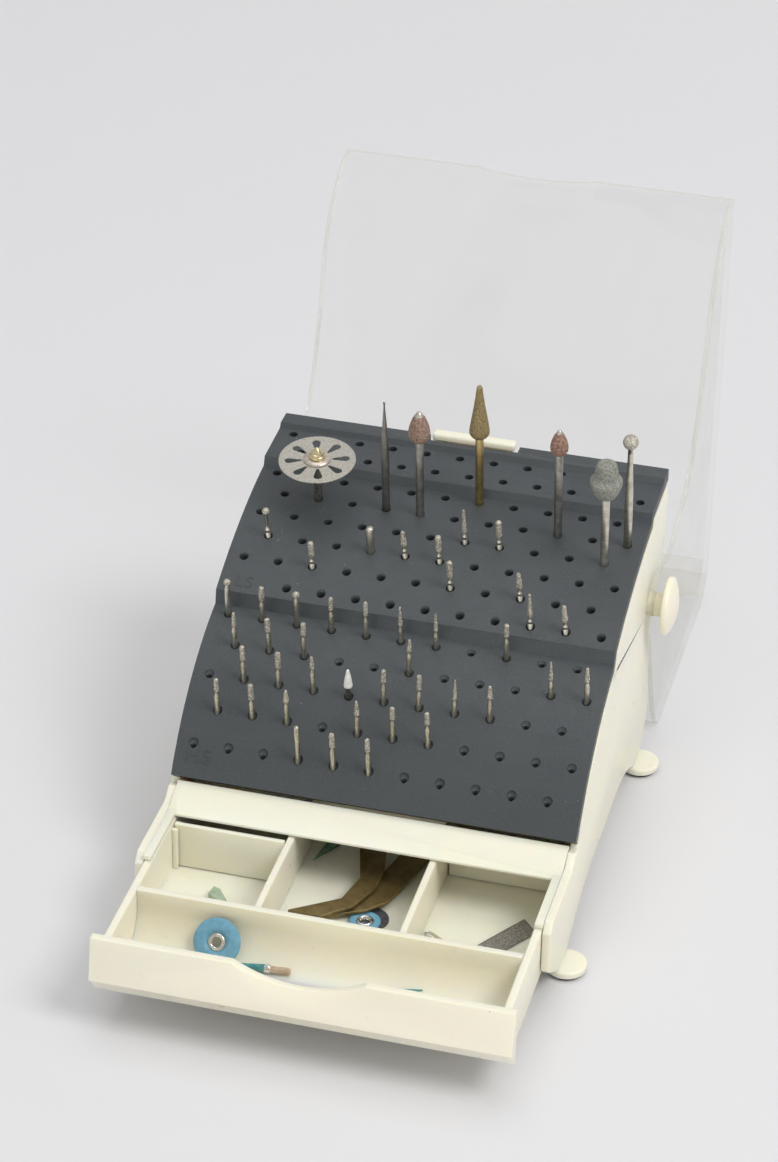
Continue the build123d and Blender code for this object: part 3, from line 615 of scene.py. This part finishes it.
def make_long_tools(steel, dark_steel, gold, gold_grit, grit, disc_grit, brass, washer, brown, pink, green):
    """The seven tools of the rear rows, their profiles measured up from the plate's face."""
    make_long_tool("disc_mandrel", HAND_FOOT + [
        (HAND_R, 11.6, 0), (1.35, 11.9, 0), (1.9, 12.3, 0), (2.0, 12.6, 0), (2.0, 13.4, 0), (1.8, 13.6, 0),
        (0, 13.6, 0)], [steel])
    make_slotted_disc(PLACE_OF["disc_mandrel"], disc_grit)
    make_long_tool("disc_washer", [
        (0, 14.1, 0), (3.7, 14.1, 0), (3.9, 14.25, 0), (3.85, 14.5, 0), (3.3, 14.8, 0), (2.5, 14.9, 0),
        (0, 14.9, 0)], [washer], sides=48)
    make_long_tool("disc_screw", [
        (0, 14.92, 0), (2.15, 14.92, 0), (2.3, 15.05, 0), (2.3, 15.6, 0), (2.1, 15.8, 0), (1.9, 15.85, 0),
        (1.95, 16.05, 0), (1.6, 16.7, 0), (0.8, 17.7, 0), (0.45, 18.05, 0), (0.2, 18.2, 0), (0, 18.22, 0)],
        [brass], sides=40)
    make_long_tool("long_needle", HAND_FOOT + [
        (HAND_R, 18.0, 0), (1.12, 21.5, 0), (0.95, 25.5, 0), (0.62, 30.5, 0), (0.3, 35.0, 0),
        (0.22, 36.5, 0)] + sphere_run(0.4, 37.1, 40, 0), [dark_steel], sides=8)
    make_long_tool("brown_stone_shank", shank_profile(25.9), [dark_steel])
    make_long_tool("brown_stone", [
        (0, 26.0, 1), (1.5, 26.0, 1), (2.3, 26.4, 1), (3.0, 27.5, 1), (3.15, 28.8, 1), (2.8, 30.8, 1),
        (2.1, 33.0, 1), (1.35, 34.6, 1), (1.0, 35.0, 0), (0.85, 35.35, 0), (0.5, 35.7, 0), (0, 35.8, 0)],
        [steel, brown], 0.11, 40, 3)
    make_long_tool("cone_stone_shank", shank_profile(23.4), [gold])
    make_long_tool("cone_stone", [
        (0, 23.5, 1), (1.4, 23.5, 1), (2.3, 23.9, 1), (2.85, 24.8, 1), (2.9, 25.9, 1), (2.35, 29.5, 1),
        (1.55, 34.5, 1), (0.95, 39.0, 1), (0.85, 40.2, 1), (0.6, 40.8, 1), (0, 41.0, 1)],
        [gold, gold_grit], 0.05, 40, 5)
    make_long_tool("flame_stone_shank", shank_profile(28.4), [dark_steel])
    make_long_tool("flame_stone", [
        (0, 28.5, 1), (1.3, 28.5, 1), (2.0, 28.9, 1), (2.5, 30.0, 1), (2.55, 31.2, 1), (2.2, 32.8, 1),
        (1.5, 34.6, 1), (0.95, 35.6, 1), (0.75, 35.8, 0), (0.65, 36.2, 0), (0.35, 36.45, 0), (0, 36.5, 0)],
        [steel, pink], 0.12, 40, 8)
    make_long_tool("barrel_stone_shank", shank_profile(23.4), [steel])
    make_long_tool("barrel_stone", [
        (0, 23.5, 1), (1.6, 23.5, 1), (2.7, 23.9, 1), (3.5, 25.2, 1), (3.95, 26.4, 1), (3.9, 26.55, 1),
        (4.25, 27.3, 1), (4.2, 27.45, 1), (4.5, 28.3, 1), (4.42, 28.45, 1), (4.5, 29.2, 1), (4.0, 29.9, 1),
        (3.3, 30.6, 1), (3.35, 31.1, 1), (3.2, 31.25, 1), (3.25, 32.3, 1), (3.1, 32.45, 1), (3.05, 33.5, 1),
        (2.7, 34.6, 1), (1.7, 35.4, 1), (0, 35.6, 1)], [steel, green], 0.03, 48, 2)
    make_long_tool("ball_bur", HAND_FOOT + [
        (HAND_R, 15.0, 0), (1.12, 20.0, 0), (0.85, 27.0, 0), (0.72, 32.0, 0), (0.7, 34.0, 0)] +
        sphere_run(2.2, 36.0, 19, 1, 16), [steel, grit], 0.05, 36, 4)


# ---- what lies in the drawer ------------------------------------------------------------------------
def plane_of(points):
    """Matrix at the middle of a flat piece, with X along its longest direction and Z along its shortest."""
    cloud = np.array([tuple(p) for p in points])
    low, high = cloud.min(0), cloud.max(0)
    middle = (low + high) / 2
    _, axes = np.linalg.eigh(np.cov((cloud - cloud.mean(0)).T))
    z, x = Vector(axes[:, 0]), Vector(axes[:, 2])
    if z.z < 0:
        z = -z
    turn = Matrix((x, z.cross(x), z)).transposed().to_4x4()
    return Matrix.Translation(Vector(middle)) @ turn


def make_discs(blue, dark, silver):
    for node, radius, hole, material in (("polishing_disc_front", 6.5, 2.45, blue),
                                         ("polishing_disc_bay", 4.3, 2.45, blue),
                                         ("dark_disc_bay", 5.1, 1.0, dark)):
        place = plane_of(islands(node)[0])
        bm = bmesh.new()
        half = 0.26
        lathe(bm, place, [(hole, -half, 0), (radius - 0.12, -half, 0), (radius, -half + 0.1, 0),
                          (radius, half - 0.1, 0), (radius - 0.12, half, 0), (radius * 0.6, half + 0.04, 0),
                          (hole, half, 0), (hole, -half, 0)], 72)
        bmesh.ops.remove_doubles(bm, verts=bm.verts, dist=1e-6)
        stand_for(new_object(node + "_cut", bm, [material]), node)
    bm = bmesh.new()
    for group in islands("disc_eyelets"):
        place = plane_of(group)
        rim = []
        for k in range(17):
            a = pi * 1.15 - 2 * pi * k / 16
            rim.append((1.88 + 0.50 * cos(a), 0.16 + 0.42 * sin(a), 0))
        lathe(bm, place, rim, 40)
        lathe(bm, place, [(1.46, 0.30, 0), (1.2, 0.0, 0), (1.12, -0.45, 0), (1.12, -0.5, 0), (1.3, -0.5, 0),
                          (1.5, 0.0, 0), (1.6, 0.30, 0)], 40)
    bmesh.ops.remove_doubles(bm, verts=bm.verts, dist=1e-6)
    stand_for(new_object("disc_eyelets_rolled", bm, [silver]), "disc_eyelets")


def long_axis(node):
    """Matrix with Z along a long piece from its left or front end to the other, and its length in mm."""
    points = islands(node)[0]
    cloud = np.array([tuple(p) for p in points])
    _, axes = np.linalg.eigh(np.cov((cloud - cloud.mean(0)).T))
    z = Vector(axes[:, 2])
    if (z.x if abs(z.x) > abs(z.y) else z.y) < 0:
        z = -z
    reach = [p.dot(z) for p in points]
    low, high = min(reach), max(reach)
    ring = [p for p in points if p.dot(z) < low + 5e-5]
    foot = sum(ring, Vector()) / len(ring)
    turn = z.to_track_quat("Z", "Y").to_matrix().to_4x4()
    return Matrix.Translation(foot) @ turn, (high - low) / MM


def make_brush(teal, bristle, silver):
    place, length = long_axis("brush_handle")
    bm = bmesh.new()
    lathe(bm, place, [(0, 0, 0), (0.35, 0, 0), (0.6, 0.3, 0), (0.95, length * 0.55, 0),
                      (1.15, length * 0.82, 0), (1.2, length * 0.9, 1), (1.24, length * 0.91, 1),
                      (1.24, length * 0.97, 1), (1.1, length, 1), (0, length, 1)], 28)
    stand_for(new_object("brush_handle_turned", bm, [teal, silver]), "brush_handle")
    place, length = long_axis("brush_tuft")
    curve = bpy.data.curves.new("brush_bristles", "CURVE")
    curve.dimensions, curve.bevel_depth, curve.bevel_resolution = "3D", 0.055 * MM, 1
    rnd = random.Random(5)
    for _ in range(150):
        turn, out = rnd.uniform(0, 2 * pi), 0.95 * sqrt(rnd.random())
        x, y = out * cos(turn), out * sin(turn)
        spread, end = rnd.uniform(0.75, 1.15), length * rnd.uniform(0.9, 1.0)
        spline = curve.splines.new("POLY")
        spline.points.add(3)
        for k, point in enumerate(spline.points):
            t = k / 3
            grow = 1 + (spread - 1) * t
            at = place @ Vector((x * grow * MM, y * grow * MM, (t * end - 0.2) * MM))
            point.co, point.radius = (*at, 1), 1 - 0.45 * t
    hair = bpy.data.objects.new("brush_bristles", curve)
    bpy.context.scene.collection.objects.link(hair)
    curve.materials.append(bristle)
    stand_for(hair, "brush_tuft")


def make_small_points(teal, green):
    place, length = long_axis("teal_probe")
    bm = bmesh.new()
    lathe(bm, place, [(0, 0, 0), (0.3, 0, 0), (0.48, 0.2, 0), (0.5, 1.2, 0), (0.42, length * 0.6, 0),
                      (0.3, length * 0.85, 0), (0.2, length, 0), (0, length, 0)], 20)
    stand_for(new_object("teal_probe_turned", bm, [teal]), "teal_probe")
    place, length = long_axis("green_point")
    bm = bmesh.new()
    lathe(bm, place, [(0, 0, 0), (0.22, 0.02, 0), (0.5, length * 0.2, 0), (1.15, length * 0.6, 0),
                      (1.7, length * 0.93, 0), (1.72, length * 0.98, 0), (1.5, length, 0),
                      (0, length, 0)], 28)
    stand_for(new_object("green_point_moulded", bm, [green]), "green_point")


def make_wire_clip(silver):
    """A hairpin of thin wire, its legs a little uneven."""
    bend = Vector((22.3, -27.9 + BENCH_Y, 12.25)) * MM
    place = Matrix.Translation(bend) @ Matrix.Rotation(radians(-32), 4, "Z")
    path = [(5.0, 0.84), (3.4, 0.78), (1.6, 0.86), (0.3, 0.84), (-0.55, 0.62), (-0.86, 0.0), (-0.55, -0.62),
            (0.3, -0.84), (1.5, -0.74), (2.8, -0.80), (4.0, -0.86)]
    curve = bpy.data.curves.new("wire_clip_bent", "CURVE")
    curve.dimensions, curve.bevel_depth, curve.bevel_resolution = "3D", 0.26 * MM, 3
    spline = curve.splines.new("NURBS")
    spline.points.add(len(path) - 1)
    for point, (x, y) in zip(spline.points, path):
        point.co = (*(place @ Vector((x * MM, y * MM, 0))), 1)
    spline.order_u, spline.use_endpoint_u, spline.resolution_u = 3, True, 8
    curve.use_fill_caps = True
    curve.materials.append(silver)
    made = bpy.data.objects.new("wire_clip_bent", curve)
    bpy.context.scene.collection.objects.link(made)
    stand_for(made, "wire_clip")


def make_strip(material):
    """Abrasive strip: cut square at one end, slanted at the other, and slightly bowed."""
    place = plane_of(islands("abrasive_strip")[0])
    bm = bmesh.new()
    across, along = 8, 40
    half, wide, thick = 10.9, 3.25, 0.16
    layers = []
    for side in (-1, 1):
        grid = []
        for i in range(along + 1):
            u = -half + 2 * half * i / along
            row = []
            for j in range(across + 1):
                v = -wide + 2 * wide * j / across
                x = u + 0.9 * (v / wide) * (u + half) / (2 * half)
                bow = 0.10 * sin(pi * i / along) + 0.02 * noise.noise(Vector((u, v, 0)))
                row.append(bm.verts.new(place @ (Vector((x, v, side * thick / 2 - 0.1 + bow)) * MM)))
            grid.append(row)
        layers.append(grid)
    for grid, flip in zip(layers, (True, False)):
        for i in range(along):
            for j in range(across):
                corners = [grid[i][j], grid[i + 1][j], grid[i + 1][j + 1], grid[i][j + 1]]
                bm.faces.new(corners[::-1] if flip else corners).smooth = True
    low, high = layers
    ring = [(i, 0) for i in range(along + 1)] + [(along, j) for j in range(1, across + 1)] + \
        [(i, across) for i in range(along - 1, -1, -1)] + [(0, j) for j in range(across - 1, 0, -1)]
    for (i, j), (m, n) in zip(ring, ring[1:] + ring[:1]):
        bm.faces.new((low[i][j], low[m][n], high[m][n], high[i][j]))
    stand_for(new_object("abrasive_strip_cut", bm, [material]), "abrasive_strip")


# ---- zone marks on the plate ------------------------------------------------------------------------
HIGH_ARC = (55.1, -6.8, 73.0)         # the plate's front curve: centre y, centre z and radius, bench mm
LOW_ARC = (100.2, -59.3, 142.0)


def arc_height(arc, y):
    return arc[1] + sqrt(arc[2] ** 2 - (y - arc[0]) ** 2)


def make_mark(name, text, arc, x, y, size, material):
    """Low moulded letters lying on the curved plate."""
    curve = bpy.data.curves.new(name, "FONT")
    curve.body, curve.size = text, size * MM
    curve.extrude, curve.bevel_depth, curve.bevel_resolution = 0.05 * MM, 0.06 * MM, 2
    curve.offset = -0.00012
    curve.space_character = 1.12
    holder = bpy.data.objects.new(name, curve)
    mesh = bpy.data.meshes.new_from_object(holder)
    bpy.data.objects.remove(holder)
    slope = (arc_height(arc, y + 1) - arc_height(arc, y - 1)) / 2
    for vert in mesh.vertices:
        along = y + vert.co.y / MM / sqrt(1 + slope ** 2)
        rise = vert.co.z / MM + 0.03
        vert.co = Vector((x * MM + vert.co.x, (along + BENCH_Y - rise * slope * 0.7) * MM,
                          (arc_height(arc, along) + rise) * MM))
    mesh.materials.clear()
    mesh.materials.append(material)
    made = bpy.data.objects.new(name, mesh)
    bpy.context.scene.collection.objects.link(made)
    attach(made, "bur_tray")


# ---- run ----------------------------------------------------------------------------------------------
make_camera()
make_stage()

PLACE_OF = {}
for tool, nodes in frame["record"]["behaviour"]["bodies"].items():
    if tool.endswith("_tool"):
        for node in nodes:
            PLACE_OF[node] = seats(nodes[0])[0]

cream = cream_material()
plate = plate_material()
clear = clear_material("clear_sheet", 0.012, (0.80, 0.80, 0.78), (0.992, 0.993, 0.988), 0.022)
clear_rim = clear_material("clear_rim", 0.16, (0.62, 0.61, 0.50), (0.965, 0.965, 0.945), 0.02)
LOOK = {
    "steel": metal_material("bur_steel", (0.46, 0.43, 0.35), (0.80, 0.77, 0.68)),
    "dark_steel": metal_material("dull_steel", (0.24, 0.23, 0.21), (0.46, 0.44, 0.41), (0.30, 0.5)),
    "gold": metal_material("gold_shank", (0.36, 0.26, 0.11), (0.60, 0.46, 0.21), (0.28, 0.46)),
    "brass": metal_material("turned_brass", (0.62, 0.50, 0.26), (0.88, 0.78, 0.52), (0.12, 0.28)),
    "silver": metal_material("eyelet_silver", (0.60, 0.60, 0.60), (0.88, 0.88, 0.86), (0.12, 0.3)),
    "bronze": metal_material("tweezer_bronze", (0.155, 0.115, 0.042), (0.26, 0.195, 0.082), (0.34, 0.5),
                             (300, 2600, 2600), 0.08, 0.6),
    # the last number of each grit finish is the share of painted glints
    "grit": grit_material("diamond_grit", (0.24, 0.22, 0.17), (0.74, 0.70, 0.60), 3200, 0.5,
                          (0.25, 0.7), 1.0, 0.7),
    "disc_grit": grit_material("disc_grit", (0.36, 0.34, 0.29), (0.62, 0.60, 0.54), 4200, 0.6,
                               (0.3, 0.6), 0.4, 0.3),
    "gold_grit": grit_material("gold_grit", (0.17, 0.125, 0.05), (0.46, 0.36, 0.18), 4200, 0.35,
                               (0.4, 0.7), 0.7, 0.35),
    "brown": grit_material("brown_stone", (0.17, 0.10, 0.07), (0.40, 0.28, 0.22), 2600, 0.0,
                           (0.6, 0.9), 0.9, 0.35),
    "pink": grit_material("pink_stone", (0.16, 0.08, 0.055), (0.42, 0.27, 0.20), 2600, 0.0,
                          (0.6, 0.9), 0.9, 0.35),
    "green": grit_material("green_stone", (0.15, 0.16, 0.135), (0.34, 0.345, 0.30), 2800, 0.0,
                           (0.6, 0.9), 0.8, 0.3),
    "strip": grit_material("strip_grit", (0.14, 0.13, 0.11), (0.36, 0.34, 0.30), 2600, 0.2,
                           (0.5, 0.8), 0.8, 0.35),
    "white": plain_material("white_stone", (0.66, 0.66, 0.63), (0.84, 0.84, 0.81), 900, (0.7, 0.9),
                            (2500, 0.4, 0.0001)),
    "washer": plain_material("washer_metal", (0.50, 0.44, 0.38), (0.70, 0.63, 0.56), 900, (0.25, 0.45),
                             Metallic=0.8),
    "blue": plain_material("blue_abrasive", (0.13, 0.33, 0.47), (0.19, 0.42, 0.57), 700, (0.5, 0.75),
                           (5000, 0.5, 0.00008)),
    "dark": plain_material("dark_abrasive", (0.035, 0.04, 0.045), (0.09, 0.095, 0.10), 900, (0.4, 0.7),
                           (5000, 0.5, 0.00008)),
    "teal": plain_material("teal_plastic", (0.04, 0.20, 0.22), (0.09, 0.32, 0.33), 400, (0.25, 0.45)),
    "bristle": plain_material("brush_bristle", (0.60, 0.45, 0.33), (0.82, 0.68, 0.55), 900, (0.4, 0.6)),
    "pale": plain_material("pale_rubber", (0.28, 0.38, 0.27), (0.42, 0.52, 0.38), 500, (0.5, 0.7)),
    "green_rubber": plain_material("green_rubber", (0.07, 0.16, 0.11), (0.14, 0.25, 0.17), 500, (0.5, 0.7)),
    "rubber": rubber_material(),
}

for node in CAD:
    CAD[node].data.materials.clear()
    CAD[node].data.materials.append(plate if SLOT_OF[node] == "grey_plate" else cream)

ROUNDING = {
    "side_wall_left": 0.4, "side_wall_right": 0.4, "front_fascia": 0.2, "back_wall": 0.4, "rear_catch": 0.25,
    "housing_floor": 0.3, "pivot_button_left": 0.5, "pivot_button_right": 0.5, "feet": 0.3,
    "drawer_tray": 0.6, "drawer_front": 0.4, "cross_divider": 0.6, "bay_divider_left": 0.6,
    "bay_divider_right": 0.6, "bay_panel_left": 0.3, "bay_panel_right": 0.3, "panel_guides": 0.3,
}
for node, width in ROUNDING.items():
    soften(node, width, cream)
smooth_arcs(soften("bur_plate", 0.3, plate), (HIGH_ARC, LOW_ARC))
soften("foot_pads", 0.2, LOOK["rubber"])
soften("pale_point", 0.3, LOOK["pale"])
soften("tweezer_arm_upper", 0.2, LOOK["bronze"])
soften("tweezer_arm_lower", 0.2, LOOK["bronze"])
lid = soften("lid", 0.35, clear)
mark_rim(lid, clear_rim)
make_short_burs(LOOK["steel"], LOOK["grit"], LOOK["white"])
make_long_tools(LOOK["steel"], LOOK["dark_steel"], LOOK["gold"], LOOK["gold_grit"], LOOK["grit"],
                LOOK["disc_grit"], LOOK["brass"], LOOK["washer"], LOOK["brown"], LOOK["pink"],
                LOOK["green"])
make_discs(LOOK["blue"], LOOK["dark"], LOOK["silver"])
make_brush(LOOK["teal"], LOOK["bristle"], LOOK["silver"])
make_small_points(LOOK["teal"], LOOK["green_rubber"])
make_wire_clip(LOOK["silver"])
make_strip(LOOK["strip"])
make_mark("mark_high", "HS", HIGH_ARC, -54.2, -3.2, 6.2, plate)
make_mark("mark_low", "LS", LOW_ARC, -52.6, 39.2, 5.4, plate)
